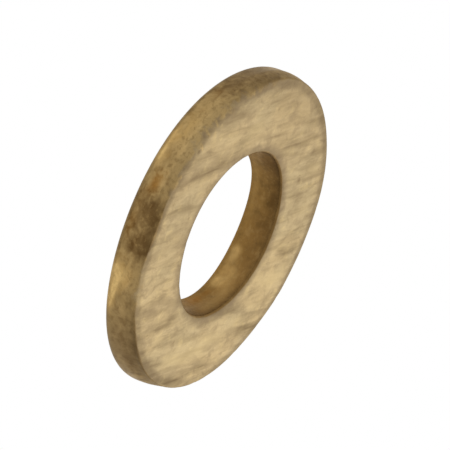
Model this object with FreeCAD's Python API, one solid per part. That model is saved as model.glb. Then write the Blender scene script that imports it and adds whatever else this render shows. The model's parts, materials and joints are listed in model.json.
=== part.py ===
import FreeCAD, Part
import math
import os

os.makedirs("parts", exist_ok=True)

# Flat washer for an M8 bolt: a single brass ring, pierced and then blanked
# from rolled strip. All lengths in millimetres. +Z runs along the bore axis.
# The origin is the centre of the ring, half way through its thickness.
# The hole was punched from the +Z side, so the bore's rolled edge is there.
# The blank was pushed out from the +Z side too, so the rim's rolled edge is
# on the -Z side, where the die was, and its torn zone is next to the +Z face.

OUTER_DIAMETER = 16.0        # across the rim
BORE_DIAMETER = 8.4          # clearance hole
THICKNESS = 1.75             # strip thickness

RIM_ROLL = 0.38              # rolled edge of the rim, -Z side
RIM_BREAK = 0.14             # tumbled edge of the rim, +Z side
RIM_TAPER = 0.07             # how far the torn zone leans in at the +Z end
TORN_HEIGHT = 0.75           # height of the rim's torn zone below the +Z face
BORE_ROLL = 0.15             # rolled edge of the bore, +Z side
BORE_BREAK = 0.06            # tumbled edge of the bore, -Z side

R_OUT = OUTER_DIAMETER / 2.0
R_BORE = BORE_DIAMETER / 2.0
Z_TOP = THICKNESS / 2.0
Z_BOTTOM = -THICKNESS / 2.0


def point(r, z):
    return FreeCAD.Vector(r, 0.0, z)


def arc(centre_r, centre_z, radius, start_deg, end_deg):
    """Arc in the XZ half plane, with its two end points."""
    pts = []
    for deg in (start_deg, (start_deg + end_deg) / 2.0, end_deg):
        a = math.radians(deg)
        pts.append(point(centre_r + radius * math.cos(a), centre_z + radius * math.sin(a)))
    return Part.Arc(*pts).toShape(), pts[0], pts[2]


# Half section of the ring, taken round from the bore's lower edge.
r_rim_top = R_OUT - RIM_TAPER
z_torn = Z_TOP - TORN_HEIGHT

bore_low, bore_low_a, bore_low_b = arc(R_BORE + BORE_BREAK, Z_BOTTOM + BORE_BREAK, BORE_BREAK, 180.0, 270.0)
rim_low, rim_low_a, rim_low_b = arc(R_OUT - RIM_ROLL, Z_BOTTOM + RIM_ROLL, RIM_ROLL, 270.0, 360.0)
rim_top, rim_top_a, rim_top_b = arc(r_rim_top - RIM_BREAK, Z_TOP - RIM_BREAK, RIM_BREAK, 0.0, 90.0)
bore_top, bore_top_a, bore_top_b = arc(R_BORE + BORE_ROLL, Z_TOP - BORE_ROLL, BORE_ROLL, 90.0, 180.0)

edges = [
    bore_low,
    Part.makeLine(bore_low_b, rim_low_a),               # -Z face
    rim_low,
    Part.makeLine(rim_low_b, point(R_OUT, z_torn)),     # burnished land of the rim
    Part.makeLine(point(R_OUT, z_torn), rim_top_a),     # torn zone of the rim
    rim_top,
    Part.makeLine(rim_top_b, bore_top_a),               # +Z face
    bore_top,
    Part.makeLine(bore_top_b, bore_low_a),              # bore wall
]
section = Part.Face(Part.Wire(edges))
washer = section.revolve(FreeCAD.Vector(0, 0, 0), FreeCAD.Vector(0, 0, 1), 360.0)
if washer.ShapeType != "Solid":
    washer = Part.Solid(washer.Shells[0])
if washer.Volume < 0:
    washer.reverse()
if not washer.isValid():
    raise RuntimeError("the washer's solid is not valid")

washer.exportStep("parts/flat_washer.step")
print("flat_washer", washer.ShapeType, "volume mm3 %.3f" % washer.Volume)
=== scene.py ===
import json
import math

import bpy
import numpy as np
from mathutils import Matrix, Vector


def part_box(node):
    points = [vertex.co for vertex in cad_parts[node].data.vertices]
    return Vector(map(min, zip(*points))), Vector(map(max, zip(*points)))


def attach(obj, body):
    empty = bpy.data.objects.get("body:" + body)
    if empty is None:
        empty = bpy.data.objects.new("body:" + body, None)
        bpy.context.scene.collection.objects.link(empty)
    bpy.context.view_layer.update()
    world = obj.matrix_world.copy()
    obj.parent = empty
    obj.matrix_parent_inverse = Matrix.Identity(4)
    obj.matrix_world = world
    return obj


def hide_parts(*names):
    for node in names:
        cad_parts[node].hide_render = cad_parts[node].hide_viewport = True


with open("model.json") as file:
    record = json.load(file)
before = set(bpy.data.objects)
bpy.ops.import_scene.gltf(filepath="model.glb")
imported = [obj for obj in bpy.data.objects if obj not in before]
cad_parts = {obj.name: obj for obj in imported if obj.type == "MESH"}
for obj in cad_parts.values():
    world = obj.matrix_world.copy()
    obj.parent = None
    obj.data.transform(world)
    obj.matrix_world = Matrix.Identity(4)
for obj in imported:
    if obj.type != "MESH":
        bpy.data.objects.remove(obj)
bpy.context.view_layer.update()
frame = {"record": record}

scene = bpy.context.scene
scene.view_settings.view_transform = "Standard"
scene.view_settings.look = "None"

MM = 0.001

# ---------------------------------------------------------------- sizes, mm
lo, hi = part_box("flat_washer")
R_OUT = (hi[0] - lo[0]) / 2 / MM
Z_TOP = hi[2] / MM
Z_LOW = lo[2] / MM
R_BORE = next(m for m in frame["record"]["mounts"] if m["name"] == "bore")["dims"]["r_mm"]

RIM_ROLL = 0.38      # rolled edge of the rim, lower side
RIM_BREAK = 0.14     # tumbled edge of the rim, upper side
RIM_TAPER = 0.07     # lean of the rim's torn zone
TORN_HEIGHT = 0.75
BORE_ROLL = 0.15     # rolled edge of the bore, upper side
BORE_BREAK = 0.06    # tumbled edge of the bore, lower side


# ------------------------------------------------------------- seeded noise
def lattice(seed):
    rng = np.random.RandomState(seed)
    perm = rng.permutation(256)
    grad = rng.normal(size=(256, 3))
    grad /= np.linalg.norm(grad, axis=1)[:, None]
    return np.concatenate([perm, perm]), grad


def gradient_noise(p, seed):
    """Smooth noise in -1..1 at points p (n, 3)."""
    perm, grad = lattice(seed)
    i = np.floor(p).astype(int)
    f = p - i
    i &= 255
    w = f * f * f * (f * (f * 6 - 15) + 10)
    out = np.zeros(len(p))
    for dx in (0, 1):
        for dy in (0, 1):
            for dz in (0, 1):
                h = perm[(perm[(perm[(i[:, 0] + dx) & 255] + i[:, 1] + dy) & 255] + i[:, 2] + dz) & 255]
                g = grad[h]
                d = f - np.array([dx, dy, dz])
                wt = (w[:, 0] if dx else 1 - w[:, 0]) * (w[:, 1] if dy else 1 - w[:, 1]) * (w[:, 2] if dz else 1 - w[:, 2])
                out += wt * (g * d).sum(1)
    return np.clip(out * 1.6, -1, 1)


def fractal(p, seed, octaves=4, gain=0.5):
    total, amp, norm = np.zeros(len(p)), 1.0, 0.0
    for k in range(octaves):
        total += amp * gradient_noise(p * (2.0 ** k) + 17.3 * k, seed + k)
        norm += amp
        amp *= gain
    return total / norm


def smooth(a, b, x):
    t = np.clip((x - a) / (b - a), 0, 1)
    return t * t * (3 - 2 * t)


# ------------------------------------------------------------- ring profile
def build_profile():
    """Closed half section, from the bore's upper rolled edge outwards and round.
    Returns r, z, outward normal (nr, nz) and zone index per point."""
    r_top = R_OUT - RIM_TAPER
    pts = []

    def line(r0, z0, r1, z1, n, nr, nz, zone, ease=0.0):
        for k in range(n):
            t = k / n
            t = t - ease * math.sin(2 * math.pi * t) / (2 * math.pi)
            pts.append((r0 + (r1 - r0) * t, z0 + (z1 - z0) * t, nr, nz, zone))

    def arc(cr, cz, rad, a0, a1, n, zone):
        for k in range(n):
            a = math.radians(a0 + (a1 - a0) * k / n)
            pts.append((cr + rad * math.cos(a), cz + rad * math.sin(a), math.cos(a), math.sin(a), zone))

    line(R_BORE + BORE_ROLL, Z_TOP, r_top - RIM_BREAK, Z_TOP, 36, 0, 1, 0, 0.5)
    arc(r_top - RIM_BREAK, Z_TOP - RIM_BREAK, RIM_BREAK, 90, 0, 8, 1)
    line(r_top, Z_TOP - RIM_BREAK, R_OUT, Z_TOP - TORN_HEIGHT, 13, 1, 0.11, 1)
    line(R_OUT, Z_TOP - TORN_HEIGHT, R_OUT, Z_LOW + RIM_ROLL, 11, 1, 0, 1)
    arc(R_OUT - RIM_ROLL, Z_LOW + RIM_ROLL, RIM_ROLL, 0, -90, 11, 1)
    line(R_OUT - RIM_ROLL, Z_LOW, R_BORE + BORE_BREAK, Z_LOW, 22, 0, -1, 2, 0.5)
    arc(R_BORE + BORE_BREAK, Z_LOW + BORE_BREAK, BORE_BREAK, 270, 180, 4, 3)
    line(R_BORE, Z_LOW + BORE_BREAK, R_BORE, Z_TOP - BORE_ROLL, 16, -1, 0, 3)
    arc(R_BORE + BORE_ROLL, Z_TOP - BORE_ROLL, BORE_ROLL, 180, 90, 7, 3)
    return np.array(pts)


LAY = math.radians(113.0)    # direction of the rolling lay in the plane of the ring

# Patches on the walls: angle, height mm, half width in degrees, half height mm, strength
# the golden spots below are painted highlights: bright patches standing in for reflections on the walls
RIM_HIGHLIGHT = [(246, -0.15, 9, 0.75, 0.42), (256, -0.52, 5, 0.34, 0.72), (248, -0.55, 5, 0.22, 0.40), (305, -0.58, 8.5, 0.34, 1.60), (299, 0.10, 6, 0.9, 0.75),
            (236, 0.10, 8, 0.6, 0.22), (260, 0.40, 6, 0.5, 0.25)]
RIM_RUST = [(265.2, 0.00, 4.4, 0.34, 0.92), (225, -0.20, 4, 0.28, 0.45), (278, -0.36, 9, 0.34, 0.62), (236, -0.10, 3, 0.20, 0.30), (293, -0.15, 3, 0.25, 0.25)]
RIM_DARK = [(203, 0.10, 13, 1.3, 0.64), (220, 0.00, 9, 0.9, 0.48), (287.6, 0.62, 3.6, 0.66, 1.00), (272.5, 0.70, 6, 0.60, 0.32), (280.0, 0.72, 6, 0.58, 0.48), (287.5, 0.10, 3.2, 0.50, 0.46), (281, 0.00, 6.5, 0.50, 0.44), (274, -0.15, 7, 1.1, 0.38), (272, -0.05, 7, 0.60, 0.26),
            (336, 0.25, 18, 1.1, 0.55)]
BORE_HIGHLIGHT = [(56, -0.42, 5, 0.30, 0.90), (66, -0.10, 8, 0.36, 0.45), (80, -0.42, 6, 0.28, 0.95), (68, -0.50, 14, 0.30, 0.40), (132, -0.62, 34, 0.30, 0.42), (52, 0.25, 16, 0.40, 0.30), (34, 0.40, 20, 0.45, 0.26), (24, 0.45, 10, 0.50, 0.22)]
BORE_RUST = [(24, -0.30, 12, 0.50, 0.50), (34, -0.50, 10, 0.30, 0.70), (45, -0.42, 4, 0.20, 0.50), (128, -0.74, 8, 0.12, 0.35)]
BORE_DARK = [(136, 0.50, 44, 0.75, 0.52), (104, 0.40, 5, 0.40, 0.30), (122, 0.45, 4, 0.35, 0.30), (93, -0.45, 2.5, 0.20, 0.30)]

# Rolling marks on the upper face: x, y of the middle, half length, half width (mm), strength; below zero is a bright one
FACE_MARKS = [
    (-5.25, 2.40, 2.10, 0.20, 0.80), (-5.40, 5.00, 0.90, 0.30, 0.60), (-6.75, 3.30, 0.90, 0.28, 0.45),
    (-0.45, 6.60, 1.20, 0.22, 0.45), (-0.75, 6.20, 1.00, 0.55, 0.30), (-2.35, 7.00, 0.50, 0.20, 0.35),
    (-2.85, 4.65, 0.60, 0.28, 0.50), (3.75, 6.15, 1.20, 0.30, 0.75), (2.30, 6.30, 0.80, 0.20, 0.35),
    (3.80, 2.50, 1.90, 0.20, 0.45), (6.65, 2.30, 1.35, 0.22, 0.50), (7.55, 0.80, 1.20, 0.22, 0.95),
    (7.05, -1.50, 0.70, 0.22, 0.50), (5.40, -3.10, 1.50, 0.22, 0.75), (5.05, -4.95, 0.90, 0.25, 0.45),
    (-2.45, -4.85, 1.70, 0.24, 0.65), (-1.50, -6.45, 1.20, 0.20, 0.60), (-2.85, -5.95, 1.50, 0.18, 0.45),
    (-5.15, -4.90, 1.30, 0.34, 0.60), (0.05, -6.30, 0.90, 0.22, 0.40), (-5.10, 0.10, 0.90, 0.35, 0.35),
    (-7.00, 0.00, 1.30, 0.45, 0.35), (6.90, -3.40, 0.60, 0.20, 0.35), (4.60, -0.40, 0.80, 0.18, 0.25),
    (5.85, 1.25, 1.60, 0.55, -0.75), (1.10, 5.95, 1.50, 0.50, -0.60), (3.70, 4.40, 0.60, 0.30, -0.40),
    (6.75, -0.45, 0.90, 0.30, -0.50), (4.70, 3.20, 0.90, 0.35, -0.40), (-4.95, -2.50, 0.80, 0.50, -0.40),
    (-3.90, -4.70, 1.00, 0.30, -0.35), (5.95, -2.45, 0.60, 0.30, -0.40), (-4.55, 5.20, 0.60, 0.35, -0.30),
    (2.00, -5.80, 1.00, 0.60, -0.25), (-2.60, 6.10, 0.50, 0.30, -0.30), (-0.30, 5.00, 0.50, 0.35, -0.25),
]
FACE_SPECKS = [(-3.70, 4.25, 0.13, 0.7), (-2.85, -7.05, 0.15, 0.9), (-5.25, 4.35, 0.14, 0.5), (6.10, 4.60, 0.10, 0.4),
               (-6.30, -1.10, 0.11, 0.5), (2.55, -6.95, 0.12, 0.5), (4.95, -5.60, 0.10, 0.4), (-0.10, -7.15, 0.13, 0.6)]


def patches(T, z, spots, extra, seed, lo_deg, hi_deg):
    """Sum of soft spots; the side away from them gets `extra` seeded ones of the same kind."""
    rng = np.random.RandomState(seed)
    spots = list(spots)
    for _ in range(extra):
        like = spots[rng.randint(len(spots))]
        spots.append((rng.uniform(lo_deg, hi_deg), like[1] + rng.uniform(-0.15, 0.15), like[2], like[3], like[4]))
    total = np.zeros(len(T))
    for deg, zz, wide, tall, k in spots:
        d = (np.degrees(T) - deg + 180) % 360 - 180
        total += k * np.exp(-(d / wide) ** 2 - ((z - zz) / tall) ** 2)
    return np.clip(total, 0, 1)


def face_marks(x, y, marks, specks, turn):
    """Long soft marks along the lay (dark above zero, bright below), and small round specks."""
    total = np.zeros(len(x))
    for k, (cx, cy, half, wide, strength) in enumerate(marks):
        a = turn + math.radians(6.0 * math.sin(1.7 * k))
        along = (x - cx) * math.cos(a) + (y - cy) * math.sin(a)
        side = -(x - cx) * math.sin(a) + (y - cy) * math.cos(a) + 0.05 * np.sin(along * 3.1 + k)
        total += strength * np.exp(-(along / half) ** 4 - (side / wide) ** 2)
    spots = np.zeros(len(x))
    for cx, cy, size, strength in specks:
        spots = np.maximum(spots, strength * np.exp(-((x - cx) ** 2 + (y - cy) ** 2) / size ** 2))
    return np.clip(total, -1, 1), spots


def seeded_marks(seed, count):
    rng = np.random.RandomState(seed)
    out = []
    for _ in range(count):
        a, rad = rng.uniform(0, 2 * math.pi), rng.uniform(4.4, 7.7)
        out.append((rad * math.cos(a), rad * math.sin(a), rng.uniform(0.6, 1.9), rng.uniform(0.18, 0.45),
                    rng.uniform(0.3, 0.8) * rng.choice([1, 1, -1])))
    specks = [(q[0] * 0.97, q[1] * 0.97, rng.uniform(0.09, 0.15), rng.uniform(0.4, 0.8)) for q in out[:9]]
    return out, specks


# slow waves of the edges round the ring: mean, then cosine and sine of 1, 2, 3 and 4 turns (mm)
OFF_RIM_UP = (0.119, -0.078, -0.004, -0.026, -0.026, 0.029, -0.007, -0.014, 0.024)
OFF_RIM_LOW = (0.104, 0.020, 0.004, -0.008, 0.010, 0.013, -0.001, -0.010, -0.050)
OFF_BORE_UP = (0.062, -0.004, -0.004, -0.008, 0.004, -0.007, 0.0, -0.019, 0.014)
OFF_BORE_LOW = (0.144, -0.022, -0.005, 0.019, -0.021, 0.016, -0.008, 0.077, 0.004)


def waves(T, c):
    total = np.full(len(T), float(c[0]))
    for k in range(1, 5):
        total += c[2 * k - 1] * np.cos(k * T) + c[2 * k] * np.sin(k * T)
    return total


def make_ring():
    prof = build_profile()
    m, n = len(prof), 720
    theta = np.linspace(0, 2 * math.pi, n, endpoint=False)
    T, J = np.meshgrid(theta, np.arange(m), indexing="ij")
    T, J = T.ravel(), J.ravel()
    r, z, nr, nz, zone = (prof[J, k].copy() for k in range(5))
    top, rim, low, bore = (zone == k for k in range(4))

    # stretches of the upper outer edge that are worn rounder than the rest
    deg = np.degrees(T)
    soft = np.zeros(len(T))
    for centre, wide, k in ((243, 21, 1.0), (212, 14, 0.45), (302, 9, 0.45), (78, 24, 0.30), (140, 12, 0.25)):
        soft += k * np.exp(-(((deg - centre + 180) % 360 - 180) / wide) ** 2)
    soft = np.clip(soft, 0, 1)
    r_top = R_OUT - RIM_TAPER
    rho = RIM_BREAK + 0.28 * soft
    cr, cz = r_top - rho, Z_TOP - rho
    corner = (r > cr) & (z > cz) & (top | rim)
    phi = np.arctan2(z - cz, r - cr)
    rad = rho + RIM_TAPER * (rho - RIM_BREAK) / (TORN_HEIGHT - RIM_BREAK) * np.cos(phi) ** 2
    r = np.where(corner, cr + rad * np.cos(phi), r)
    z = np.where(corner, cz + rad * np.sin(phi), z)
    nr = np.where(corner, np.cos(phi), nr)
    nz = np.where(corner, np.sin(phi), nz)
    r0, z0 = r.copy(), z.copy()      # on the true ring, before it is pushed out of round

    # blanked a little out of true: slow radial offsets of the four edges, mm
    up = smooth(-0.45, 0.60, z)
    # short stretches where the upper outer edge was struck inwards (above zero) or bulges (below zero)
    drawn_in = np.zeros(len(T))
    for centre, wide, k in ((281, 12, 0.19), (212, 13, 0.12), (322, 14, 0.07), (77.5, 7, -0.065), (102, 10, 0.045), (55, 9, 0.03)):
        drawn_in += k * np.exp(-(((deg - centre + 180) % 360 - 180) / wide) ** 2)
    outer = up * (waves(T, OFF_RIM_UP) - drawn_in) + (1 - up) * waves(T, OFF_RIM_LOW)
    half = smooth(-0.10, 0.40, np.sin(T))     # the bore closes in towards its lower edge mostly on the +Y side
    inner_up = waves(T, OFF_BORE_UP)
    inner = up * inner_up + (1 - up) * (half * waves(T, OFF_BORE_LOW) + (1 - half) * (inner_up + 0.035))
    r += outer * smooth(5.6, 7.9, r) - inner * (1 - smooth(4.3, 6.0, r))
    x, y = r * np.cos(T), r * np.sin(T)
    P = np.c_[x, y, z]

    # lay of the faces: u runs across the streaks, w along them
    u = -x * math.sin(LAY) + y * math.cos(LAY)
    w = x * math.cos(LAY) + y * math.sin(LAY)

    depth = np.zeros(len(P))     # how far each point sits inside the nominal skin
    faces = top | low
    lay = fractal(np.c_[u * 2.2, w * 0.3, z * 3], 11, 4)
    broad = fractal(np.c_[x * 0.28, y * 0.28, z], 23, 2)
    # the faces ease down towards both edges, and the walls start from the same level
    near_top = np.where(faces, 1.0 * top, smooth(Z_TOP - 0.60, Z_TOP - 0.08, z0))
    near_low = np.where(faces, 1.0 * low, 1 - smooth(Z_LOW + 0.08, Z_LOW + 0.55, z0))
    depth += (0.004 + 0.0022 * lay + 0.006 * (broad + 1) * 0.5) * np.maximum(near_top, near_low)
    depth += near_top * (0.046 * smooth(6.9, 7.95, r0) ** 1.6 + 0.020 * (1 - smooth(4.25, 4.80, r0)) ** 2)
    depth += near_low * (0.040 * smooth(6.8, 7.75, r0) ** 1.6 + 0.008 * (1 - smooth(4.2, 4.5, r0)) ** 2)
    mark, speck = face_marks(x, y, FACE_MARKS, FACE_SPECKS, LAY)
    low_marks, low_specks = seeded_marks(77, 34)
    mark_low, speck_low = face_marks(x, y, low_marks, low_specks, LAY)
    mark = np.where(top, mark, np.where(low, mark_low, 0.0))
    speck = np.where(top, speck, np.where(low, speck_low, 0.0))
    depth[faces] += (0.0014 * np.maximum(mark, 0) + 0.004 * speck)[faces]

    # rim: smooth burnished land next to the rolled edge, torn above it
    line_z = Z_TOP - TORN_HEIGHT + 0.22 * fractal(np.c_[np.cos(T) * 2.1, np.sin(T) * 2.1, 0 * T], 31, 3)
    torn = smooth(-0.10, 0.10, z - line_z) * rim
    tears = fractal(np.c_[x * 2.4, y * 2.4, z * 1.6], 37, 4)
    pits = fractal(np.c_[x * 5.5, y * 5.5, z * 3.5], 41, 3)
    fade = 1 - smooth(Z_TOP - RIM_BREAK - 0.05, Z_TOP - 0.02, z0)
    depth += torn * (0.016 + 0.018 * tears + 0.008 * pits) * fade
    depth += rim * (1 - torn) * (0.003 + 0.004 * fractal(np.c_[x * 1.1, y * 1.1, z * 0.4], 43, 2)) * (1 - near_low)

    # bore: burnished below the upper rolled edge, torn towards the lower edge
    line_b = -0.12 + 0.25 * fractal(np.c_[np.cos(T) * 1.7, np.sin(T) * 1.7, 0 * T + 5], 53, 3)
    torn_b = smooth(-0.10, 0.10, line_b - z) * bore
    tears_b = fractal(np.c_[x * 2.6, y * 2.6, z * 1.6], 59, 4)
    depth += torn_b * (0.010 + 0.012 * tears_b) * smooth(Z_LOW, Z_LOW + 0.12, z0)
    depth += bore * (1 - torn_b) * (0.003 + 0.003 * fractal(np.c_[x * 1.4, y * 1.4, z * 0.4], 61, 2)) * (1 - near_top)

    # small knocks along the edges
    rng = np.random.RandomState(7)
    arc_top = rim & (z > Z_TOP - RIM_BREAK * 1.3)
    for _ in range(26):
        a, size, deep = rng.uniform(0, 2 * math.pi), rng.uniform(0.09, 0.24), rng.uniform(0.004, 0.013)
        edge_r = rng.choice([R_OUT - 0.08, R_BORE + 0.05], p=[0.72, 0.28])
        c = np.array([edge_r * math.cos(a), edge_r * math.sin(a), Z_TOP - 0.04])
        d2 = ((P - c) ** 2).sum(1)
        depth += deep * np.exp(-d2 / (size ** 2))
    depth = np.maximum(depth, 0)

    N = np.c_[nr * np.cos(T), nr * np.sin(T), nz]
    N /= np.linalg.norm(N, axis=1)[:, None]
    V = (P - N * depth[:, None]) * MM

    a = (np.arange(n)[:, None] * m + np.arange(m)[None, :])
    b = (((np.arange(n) + 1) % n)[:, None] * m + np.arange(m)[None, :])
    a2, b2 = np.roll(a, -1, 1), np.roll(b, -1, 1)
    quads = np.stack([a, a2, b2, b], -1).reshape(-1, 4)

    mesh = bpy.data.meshes.new("washer_ring")
    mesh.from_pydata(V.tolist(), [], quads.tolist())
    mesh.polygons.foreach_set("use_smooth", np.ones(len(quads), bool))

    # attributes that the material reads
    def window(*spots):
        """0..1 by angle: (middle, half width, strength)."""
        out = np.zeros(len(T))
        for centre, wide, k in spots:
            out += k * np.exp(-(((deg - centre + 180) % 360 - 180) / wide) ** 2)
        return np.clip(out, 0, 1)

    # face: 1 well inside a face, 0 well down a wall, 0.5 on the line between their colours;
    # the wall's colour reaches a little over the rounded edge
    over = -0.06 + 0.14 * window((270, 88, 1.0)) ** 0.5 + 0.14 * window((204, 14, 0.9), (280, 13, 1.0), (330, 22, 0.9)) + 0.13 * window((207, 18, 0.65)) + 0.06 * window((280, 10, 1.0))
    past_rim = (Z_TOP - z0) - (r_top - r0)        # above zero down the wall, below zero in over the face
    past_bore = (Z_TOP - z0) - (r0 - R_BORE)
    past_rim_low = (z0 - Z_LOW) - (R_OUT - r0)
    past_bore_low = (z0 - Z_LOW) - (r0 - R_BORE)
    outer_side = rim | (faces & (r0 > 6.1))
    d = np.where(outer_side, -past_rim - over, -past_bore - 0.10)
    d_low = np.where(outer_side, -past_rim_low, -past_bore_low)
    d = np.where(top, d, np.where(low, d_low, np.maximum(d, d_low)))
    soft_here = np.where(outer_side, soft * smooth(-0.3, 0.3, z0), 0.0)
    spread = np.where(outer_side, 0.45 + 2.6 * soft_here, 0.34)
    face_w = np.clip(0.5 + (d + 0.06 * soft_here) / spread, 0, 1)

    # shade: dull grey-brown bands on the faces along their edges
    outer_band = smooth(6.75, 7.80, r) ** 1.5 * (0.36 + 0.70 * window((203, 24, 0.80), (279, 15, 0.85), (345, 22, 0.50), (110, 60, 0.35)))
    inner_band = (1 - smooth(4.28, 5.05, r)) * (0.62 + 0.48 * window((120, 34, 0.4), (35, 30, 0.6), (172, 20, 0.7), (270, 30, 0.3)))
    shade = np.where(bore, inner_band, np.where(rim, outer_band, np.maximum(outer_band, inner_band)))
    # gold: painted highlights, bright golden spots on the rim and bore
    gold = np.where(bore, patches(T, z, BORE_HIGHLIGHT, 4, 5, 190, 350), patches(T, z, RIM_HIGHLIGHT, 6, 3, -5, 180))
    rust = np.where(bore, patches(T, z, BORE_RUST, 3, 6, 190, 350), patches(T, z, RIM_RUST, 4, 4, -5, 180))
    dark = np.where(bore, patches(T, z, BORE_DARK, 4, 8, 190, 350), patches(T, z, RIM_DARK, 6, 9, -5, 180))
    # lip: painted shade, a dark line along the upper edges, from the walls over onto the face
    edge_shade_rim = 0.06 + 0.90 * window((283, 9, 0.75), (330, 20, 0.85), (203, 14, 0.45), (120, 40, 0.8), (60, 30, 0.5))
    edge_shade_bore = 0.32 + 0.40 * window((130, 50, 1.0), (270, 60, 0.8))
    lip_rim = np.exp(-((past_rim - 0.06) / np.where(past_rim > 0.06, 0.26, 0.34)) ** 2) * edge_shade_rim
    lip_bore = np.exp(-((past_bore - 0.08) / np.where(past_bore > 0.08, 0.34, 0.20)) ** 2) * edge_shade_bore
    lip = np.where(low, 0.0, np.where(outer_side, lip_rim, lip_bore))
    # calm: stretches of the rim where the mottle is faint
    calm = np.where(outer_side, window((333, 20, 1.0), (203, 16, 0.9), (100, 30, 0.6)), 0.0)
    # the faces darker towards the side at 230 degrees and around 165 degrees
    patina = 0.5 - 0.5 * np.cos(T - math.radians(50)) * r / R_OUT + 1.2 * window((165, 20, 1.0))
    attrs = {
        "mark": mark,
        "speck": speck,
        "patina": patina,
        "gold": gold,
        "rust": rust,
        "dark": dark,
        "lip": np.clip(lip, 0, 1),
        "calm": calm,
        "soft": soft_here,
        "face": face_w,
        "bore": np.where(bore, 1.0, 0.0),
        "shade": shade,
        "height": np.clip((z - Z_LOW) / (Z_TOP - Z_LOW), 0, 1),
        "torn": torn + torn_b,
        "hollow": np.clip(depth / 0.03, 0, 1),
    }
    for name, values in attrs.items():
        at = mesh.attributes.new(name, "FLOAT", "POINT")
        at.data.foreach_set("value", values.astype(np.float32))

    # texture layout: two round islands, the rim in three strips, the bore in one
    arc_len = np.r_[0, np.cumsum(np.hypot(np.diff(prof[:, 0]), np.diff(prof[:, 1])))]
    uv = np.zeros((len(quads), 4, 2))
    for j in range(m):
        zn = int(prof[j, 4])
        cols = np.arange(n) * m + j
        jn = (j + 1) % m
        rj, rn = prof[j, 0], prof[jn, 0]
        t0, t1 = theta, theta + 2 * math.pi / n
        if zn in (0, 2):
            c = np.array([0.252, 0.748]) if zn == 0 else np.array([0.748, 0.748])
            flip = 1 if zn == 0 else -1
            s = 0.243 / 7.9
            for k, (rr, tt) in enumerate(((rj, t0), (rn, t0), (rn, t1), (rj, t1))):
                uv[cols, k, 0] = c[0] + flip * rr * np.cos(tt) * s
                uv[cols, k, 1] = c[1] + rr * np.sin(tt) * s
        else:
            mine = np.where(prof[:, 4] == zn)[0]
            base = arc_len[mine[0]]
            v0 = arc_len[j] - base
            v1 = v0 + math.hypot(prof[jn, 0] - rj, prof[jn, 1] - prof[j, 1])
            if zn == 1:
                strip = np.minimum((t0 / (2 * math.pi) * 3 + 1e-9).astype(int), 2)
                span, width = 2 * math.pi / 3, 0.976
                y0 = 0.012 + strip * 0.135
                s = width / (span * R_OUT)
            else:
                strip = np.zeros(n, int)
                span, width = 2 * math.pi, 0.976
                y0 = np.full(n, 0.420)
                s = width / (span * R_BORE)
            left = 0.012
            for k, (vv, tt) in enumerate(((v0, t0), (v1, t0), (v1, t1), (v0, t1))):
                uv[cols, k, 0] = left + (tt - strip * span) / span * width
                uv[cols, k, 1] = y0 + vv * s
    layer = mesh.uv_layers.new(name="OFBake")
    layer.data.foreach_set("uv", uv.reshape(-1).astype(np.float32))

    mesh.validate()
    mesh.update()
    ring = bpy.data.objects.new("washer_ring", mesh)
    bpy.context.collection.objects.link(ring)
    return ring


# ---------------------------------------------------------------- materials
class Tree:
    def __init__(self, tree):
        self.t = tree
        self.t.nodes.clear()

    def n(self, kind, **props):
        node = self.t.nodes.new(kind)
        for k, v in props.items():
            setattr(node, k, v)
        return node

    def link(self, a, b):
        self.t.links.new(a, b)

    def put(self, socket, value):
        if hasattr(value, "links") or hasattr(value, "is_output"):
            self.link(value, socket)
        else:
            socket.default_value = value

    def math(self, op, a, b=None, c=None, clamp=False):
        node = self.n("ShaderNodeMath", operation=op, use_clamp=clamp)
        for k, v in enumerate((a, b, c)):
            if v is not None:
                self.put(node.inputs[k], v)
        return node.outputs[0]

    def ramp(self, value, a, b, lo=0.0, hi=1.0):
        node = self.n("ShaderNodeMapRange", interpolation_type="SMOOTHSTEP")
        self.put(node.inputs[0], value)
        for k, v in zip((1, 2, 3, 4), (a, b, lo, hi)):
            node.inputs[k].default_value = v
        return node.outputs[0]

    def mix(self, fac, a, b, blend="MIX"):
        node = self.n("ShaderNodeMix", data_type="RGBA", blend_type=blend)
        self.put(node.inputs[0], fac)
        for socket, v in ((node.inputs[6], a), (node.inputs[7], b)):
            if isinstance(v, tuple):
                v = (*v, 1.0) if len(v) == 3 else v
            self.put(socket, v)
        return node.outputs[2]

    def blend(self, fac, a, b):
        node = self.n("ShaderNodeMix", data_type="FLOAT")
        self.put(node.inputs[0], fac)
        self.put(node.inputs[2], a)
        self.put(node.inputs[3], b)
        return node.outputs[0]

    def coords(self, scale, angle=0.0, shift=(0, 0, 0)):
        """Object coordinates in millimetres, turned about Z, then scaled."""
        src = self.n("ShaderNodeTexCoord").outputs["Object"]
        turn = self.n("ShaderNodeMapping", vector_type="POINT")
        turn.inputs["Rotation"].default_value = (0, 0, -angle)
        turn.inputs["Scale"].default_value = (1000, 1000, 1000)
        self.link(src, turn.inputs["Vector"])
        size = self.n("ShaderNodeMapping", vector_type="POINT")
        size.inputs["Scale"].default_value = scale
        size.inputs["Location"].default_value = shift
        self.link(turn.outputs[0], size.inputs["Vector"])
        return size.outputs[0]

    def noise(self, vec, detail=4, rough=0.55, distort=0.0):
        node = self.n("ShaderNodeTexNoise", noise_dimensions="3D")
        self.link(vec, node.inputs["Vector"])
        node.inputs["Scale"].default_value = 1.0
        node.inputs["Detail"].default_value = detail
        node.inputs["Roughness"].default_value = rough
        node.inputs["Distortion"].default_value = distort
        return node.outputs["Fac"]

    def attr(self, name):
        return self.n("ShaderNodeAttribute", attribute_name=name).outputs["Fac"]


def srgb(r, g, b):
    return tuple((c / 255 / 12.92) if c / 255 <= 0.04045 else ((c / 255 + 0.055) / 1.055) ** 2.4 for c in (r, g, b))


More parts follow.
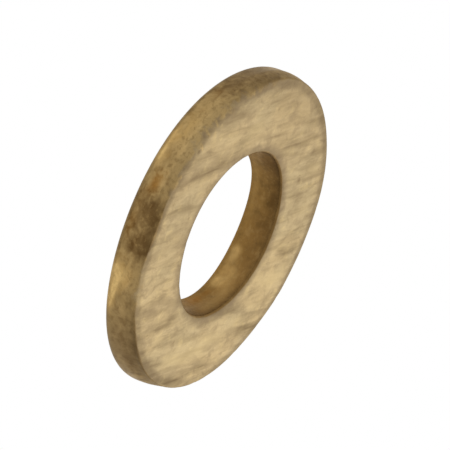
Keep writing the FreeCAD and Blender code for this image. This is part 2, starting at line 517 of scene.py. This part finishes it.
def brass_material():
    mat = bpy.data.materials.new("brass_sheared")
    mat.use_nodes = True
    t = Tree(mat.node_tree)
    out = t.n("ShaderNodeOutputMaterial")
    bsdf = t.n("ShaderNodeBsdfPrincipled")
    t.link(bsdf.outputs[0], out.inputs[0])

    face, bore, shade, torn, hollow = (t.attr(k) for k in ("face", "bore", "shade", "torn", "hollow"))

    # --- rolled faces: streaks along the lay, over soft blotches
    across = LAY - math.pi / 2      # local x runs across the streaks
    long_streak = t.noise(t.coords((0.95, 0.17, 0.6), across, (3.1, 7.7, 0)), 4, 0.58, 0.4)
    streak = t.noise(t.coords((2.3, 0.42, 1.0), across, (11.0, 2.0, 4.0)), 4, 0.55, 0.5)
    fine = t.noise(t.coords((5.5, 1.3, 2.0), across, (5.0, 9.0, 1.0)), 3, 0.55, 0.4)
    cloud = t.noise(t.coords((0.45, 0.36, 0.5), across, (1.0, 3.0, 8.0)), 3, 0.5, 0.3)
    mottle = t.noise(t.coords((2.0, 1.5, 2.0), across, (4.0, 1.0, 2.0)), 4, 0.6, 0.5)
    grain = t.noise(t.coords((7.0, 5.5, 7.0)), 3, 0.6)
    speck = t.noise(t.coords((2.3, 1.6, 2.0), across, (31.0, 5.0, 2.0)), 2, 0.5)

    lines = t.noise(t.coords((3.9, 0.40, 1.0), across, (2.0, 6.0, 3.0)), 2, 0.5, 0.35)
    groups = t.noise(t.coords((0.55, 0.45, 0.5), across, (9.0, 4.0, 1.0)), 2, 0.5, 0.3)

    tan = t.mix(t.ramp(cloud, 0.38, 0.62), srgb(192, 172, 132), srgb(203, 180, 136))
    c = t.mix(t.ramp(long_streak, 0.46, 0.66, 0.0, 0.55), tan, srgb(160, 139, 104))
    c = t.mix(t.ramp(streak, 0.53, 0.72, 0.0, 0.48), c, srgb(158, 138, 104))
    c = t.mix(t.ramp(streak, 0.28, 0.46, 0.35, 0.0), c, srgb(209, 187, 142))
    c = t.mix(t.ramp(mottle, 0.48, 0.68, 0.0, 0.55), c, srgb(162, 141, 107))
    c = t.mix(t.ramp(mottle, 0.30, 0.46, 0.50, 0.0), c, srgb(218, 195, 143))
    c = t.mix(t.ramp(fine, 0.45, 0.75, 0.0, 0.18), c, srgb(154, 133, 100))
    c = t.mix(t.ramp(grain, 0.40, 0.70, 0.0, 0.10), c, srgb(150, 129, 96))
    c = t.mix(t.ramp(speck, 0.70, 0.76, 0.0, 0.35), c, srgb(128, 104, 68))
    c = t.mix(t.math("MULTIPLY", t.ramp(lines, 0.52, 0.68), t.ramp(groups, 0.42, 0.60, 0.06, 0.36)), c, srgb(148, 127, 94))
    mark, spots, patina = (t.attr(k) for k in ("mark", "speck", "patina"))
    wobble = t.math("ADD", t.math("MULTIPLY", t.ramp(lines, 0.32, 0.68), 0.65), t.math("MULTIPLY", streak, 1.15))
    c = t.mix(t.math("MULTIPLY", t.math("MULTIPLY", t.math("MAXIMUM", mark, 0.0), 0.95), wobble, clamp=True), c, srgb(134, 113, 80))
    c = t.mix(t.math("MULTIPLY", t.math("MULTIPLY", mark, -0.95), wobble, clamp=True), c, srgb(216, 194, 146))
    c = t.mix(t.math("MULTIPLY", spots, 0.7), c, srgb(104, 80, 46))
    # the faces darker towards one side and around 165 degrees
    c = t.mix(t.math("MULTIPLY", patina, 0.14), c, srgb(160, 138, 104))
    broken = t.math("ADD", shade, t.math("MULTIPLY", t.math("SUBTRACT", mottle, 0.5), 0.5))
    face_col = t.mix(t.math("MULTIPLY", t.ramp(broken, 0.10, 1.0), 0.80), c, srgb(140, 120, 92))
    lip = t.attr("lip")
    # painted shade: the face darkened along its upper edges by the lip
    face_col = t.mix(t.math("MULTIPLY", lip, 0.30), face_col, srgb(118, 98, 66))

    # --- rim and bore walls: mottled brown patina over golden sheared brass, with painted highlights as bright golden spots
    wall_cloud = t.noise(t.coords((0.75, 0.75, 0.6), 0, (2, 4, 9)), 4, 0.6, 0.5)
    wall_mottle = t.noise(t.coords((1.9, 1.9, 2.7), 0, (7, 1, 3)), 3, 0.52, 0.4)
    blot = t.noise(t.coords((1.2, 1.2, 1.7), 0, (3, 6, 1)), 4, 0.55, 0.6)
    wall_grain = t.noise(t.coords((4.6, 4.6, 6.5), 0, (1, 8, 6)), 3, 0.55, 0.2)

    def patch(mask, lo=0.12, hi=0.95, rag=1.0):
        # breaks the soft spot up with the mottle so that its edge is ragged and its inside uneven
        ragged = t.math("ADD", mask, t.math("MULTIPLY", t.math("SUBTRACT", wall_mottle, 0.5), t.math("MULTIPLY_ADD", bore, -0.55 * rag, rag)))
        return t.math("MULTIPLY", t.ramp(ragged, lo, hi), t.ramp(blot, 0.35, 0.65, 1.0, 0.70))

    gold, rust, dark, calm, height = (t.attr(k) for k in ("gold", "rust", "dark", "calm", "height"))
    lively = t.math("SUBTRACT", t.math("MULTIPLY_ADD", calm, -0.75, 1.0), t.math("MULTIPLY", bore, 0.40))
    rim_base = t.mix(t.ramp(wall_cloud, 0.35, 0.65), srgb(178, 150, 100), srgb(160, 133, 86))
    bore_base = t.mix(t.ramp(height, 0.05, 0.85), srgb(156, 121, 66), srgb(142, 110, 62))
    w = t.mix(bore, rim_base, bore_base)
    w = t.mix(t.math("MULTIPLY", t.ramp(blot, 0.46, 0.70, 0.0, 0.50), lively), w, srgb(118, 92, 54))
    w = t.mix(t.math("MULTIPLY", t.ramp(wall_mottle, 0.50, 0.68, 0.0, 0.60), lively), w, srgb(114, 89, 50))
    w = t.mix(t.math("MULTIPLY", t.ramp(wall_mottle, 0.28, 0.45, 0.40, 0.0), t.math("SUBTRACT", 1.0, t.math("MULTIPLY", bore, 0.6))), w, srgb(196, 166, 112))
    w = t.mix(t.math("MULTIPLY", calm, 0.55), w, srgb(122, 102, 74))
    # painted highlights: the golden spots, with a brighter core where they are strongest
    w = t.mix(t.math("MULTIPLY", patch(gold), t.math("MULTIPLY_ADD", bore, -0.14, 0.84)), w, srgb(212, 176, 112))
    w = t.mix(t.math("MULTIPLY", t.ramp(gold, 0.62, 1.0, 0.0, 0.62), t.math("MULTIPLY", t.ramp(wall_mottle, 0.40, 0.62, 1.0, 0.35), t.math("MULTIPLY_ADD", bore, -0.72, 1.0))), w, srgb(240, 206, 138))
    w = t.mix(t.math("MULTIPLY", t.attr("soft"), t.ramp(height, 0.35, 0.90, 0.0, 0.84)), w, srgb(206, 178, 124))
    crumbs = t.math("MULTIPLY", t.ramp(wall_grain, 0.46, 0.70), t.ramp(blot, 0.40, 0.60, 0.35, 1.0))
    w = t.mix(t.math("MULTIPLY", t.math("MULTIPLY", t.attr("soft"), 0.42), crumbs), w, srgb(118, 94, 54))
    w = t.mix(t.math("MULTIPLY", patch(rust, 0.05, 1.25), 1.0), w, srgb(156, 108, 42))
    w = t.mix(t.math("MULTIPLY", patch(dark, 0.05, 1.0, 1.15), 0.92), w, t.mix(bore, srgb(96, 70, 37), srgb(92, 66, 32)))
    w = t.mix(t.math("MULTIPLY", t.ramp(wall_grain, 0.46, 0.70, 0.0, 0.20), lively), w, srgb(104, 80, 46))
    w = t.mix(t.math("MULTIPLY", t.ramp(wall_grain, 0.30, 0.48, 0.30, 0.0), lively), w, srgb(176, 146, 94))
    # painted shade: the walls darkened towards their upper edges by the lip
    wall_col = t.mix(t.math("MULTIPLY", t.ramp(t.math("ADD", lip, t.math("MULTIPLY", t.math("SUBTRACT", wall_mottle, 0.5), 0.5)), 0.05, 1.0), 0.62), w, srgb(92, 70, 40))

    # the line between face and wall is ragged
    rag = t.math("MULTIPLY", t.math("SUBTRACT", wall_mottle, 0.5), t.math("ADD", t.math("MULTIPLY_ADD", bore, -0.30, 0.55), t.math("MULTIPLY", t.attr("soft"), 0.9)))
    edge_line = t.ramp(t.math("ADD", face, rag), 0.34, 0.68)
    colour = t.mix(edge_line, wall_col, face_col)
    colour = t.mix(t.ramp(hollow, 0.45, 1.0, 0.0, 0.25), colour, srgb(96, 76, 46))
    t.link(colour, bsdf.inputs["Base Color"])

    # --- gloss: the faces are dull, the burnished walls are smoother
    rough_face = t.math("ADD", 0.46, t.math("MULTIPLY", t.ramp(streak, 0.3, 0.7), 0.12))
    rough_wall = t.math("ADD", t.math("ADD", 0.36, t.math("MULTIPLY", torn, 0.12)), t.math("MULTIPLY", wall_grain, 0.12))
    t.link(t.blend(edge_line, rough_wall, rough_face), bsdf.inputs["Roughness"])
    bsdf.inputs["Metallic"].default_value = 1.0
    bsdf.inputs["IOR"].default_value = 1.5
    bsdf.inputs["Specular Tint"].default_value = (0.90, 0.85, 0.76, 1.0)

    # --- fine relief
    relief_face = t.math("ADD", t.math("MULTIPLY", streak, 0.30), t.math("ADD", t.math("MULTIPLY", fine, 0.22), t.math("MULTIPLY", grain, 0.14)))
    relief_wall = t.math("ADD", t.math("MULTIPLY", wall_mottle, lively), t.math("MULTIPLY", wall_grain, t.math("MULTIPLY_ADD", torn, 0.35, 0.15)))
    bump = t.n("ShaderNodeBump")
    bump.inputs["Strength"].default_value = 1.0
    bump.inputs["Distance"].default_value = 0.007 * MM
    t.link(t.blend(edge_line, relief_wall, relief_face), bump.inputs["Height"])
    t.link(bump.outputs[0], bsdf.inputs["Normal"])
    return mat


ring = make_ring()
ring.data.materials.append(brass_material())
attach(ring, "root")
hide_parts("flat_washer")


# -------------------------------------------------------------------- stage
def make_floor():
    size, z = 6.0, Z_LOW * MM - 0.00002
    mesh = bpy.data.meshes.new("floor")
    mesh.from_pydata([(-size, -size, z), (size, -size, z), (size, size, z), (-size, size, z)], [], [(0, 1, 2, 3)])
    floor = bpy.data.objects.new("floor", mesh)
    bpy.context.collection.objects.link(floor)
    mat = bpy.data.materials.new("lit_white_floor")
    mat.use_nodes = True
    t = Tree(mat.node_tree)
    out = t.n("ShaderNodeOutputMaterial")
    glow = t.n("ShaderNodeEmission")
    glow.inputs["Color"].default_value = (1, 1, 1, 1)
    glow.inputs["Strength"].default_value = 1.0
    t.link(glow.outputs[0], out.inputs[0])
    mesh.materials.append(mat)
    floor.visible_diffuse = False
    floor.visible_glossy = False
    floor.visible_shadow = False
    return floor


make_floor()


def make_world():
    world = bpy.data.worlds.new("studio")
    scene.world = world
    world.use_nodes = True
    t = Tree(world.node_tree)
    out = t.n("ShaderNodeOutputWorld")
    bg = t.n("ShaderNodeBackground")
    t.link(bg.outputs[0], out.inputs[0])
    direction = t.n("ShaderNodeTexCoord").outputs["Generated"]
    split = t.n("ShaderNodeSeparateXYZ")
    t.link(direction, split.inputs[0])
    level = t.ramp(split.outputs["Z"], 0.45, 0.98, 0.79, 0.76)

    def box(d, inner, outer, power):
        dot = t.n("ShaderNodeVectorMath", operation="DOT_PRODUCT")
        t.link(direction, dot.inputs[0])
        dot.inputs[1].default_value = Vector(d).normalized()
        return t.ramp(dot.outputs["Value"], math.cos(math.radians(outer)), math.cos(math.radians(inner)), 0.0, power)

    for args in (((0.05, 1.0, 0.35), 25, 85, 0.20), ((0.45, -0.85, 0.28), 10, 42, 0.20),
                 ((-0.69, -0.59, -0.42), 8, 40, 0.20)):
        level = t.math("ADD", level, box(*args))
    t.link(level, bg.inputs["Strength"])
    bg.inputs["Color"].default_value = (1.0, 0.99, 0.97, 1.0)


make_world()


def area(name, loc, target, size, power, colour=(1, 1, 1)):
    data = bpy.data.lights.new(name, "AREA")
    data.shape = "DISK"
    data.size = size
    data.energy = power
    data.color = colour
    obj = bpy.data.objects.new(name, data)
    obj.location = loc
    obj.rotation_mode = "QUATERNION"
    obj.rotation_quaternion = (Vector(target) - Vector(loc)).to_track_quat("-Z", "Y")
    bpy.context.collection.objects.link(obj)
    return obj


area("key_softbox", (0.05, 0.24, 0.13), (0, 0, 0), 0.16, 0.04)


# ------------------------------------------------------------------- camera
def make_camera():
    tilt, turn = 1.1316, 0.4381       # angle off the bore axis; direction of that axis in the frame
    off_x, off_y, px_per_radius = -8.5702, 2.5524, 169.2641
    lens, sensor, width = 1000.0, 36.0, 450.0
    f_px = lens / sensor * width
    dist = R_OUT * MM * f_px / px_per_radius
    roll = math.pi / 2 + turn
    right = Vector((1, 0, 0))
    up = Vector((0, math.cos(tilt), math.sin(tilt)))
    back = Vector((0, -math.sin(tilt), math.cos(tilt)))
    r2 = right * math.cos(roll) + up * math.sin(roll)
    u2 = -right * math.sin(roll) + up * math.cos(roll)
    rot = Matrix((r2, u2, back)).transposed()
    centre_cam = Vector((off_x * dist / f_px, -off_y * dist / f_px, -dist))
    data = bpy.data.cameras.new("camera")
    data.lens, data.sensor_width = lens, sensor
    data.clip_start, data.clip_end = 0.01, 10.0
    cam = bpy.data.objects.new("camera", data)
    cam.rotation_mode = "QUATERNION"
    cam.rotation_quaternion = rot.to_quaternion()
    cam.location = -(rot @ centre_cam)
    bpy.context.collection.objects.link(cam)
    scene.camera = cam


make_camera()
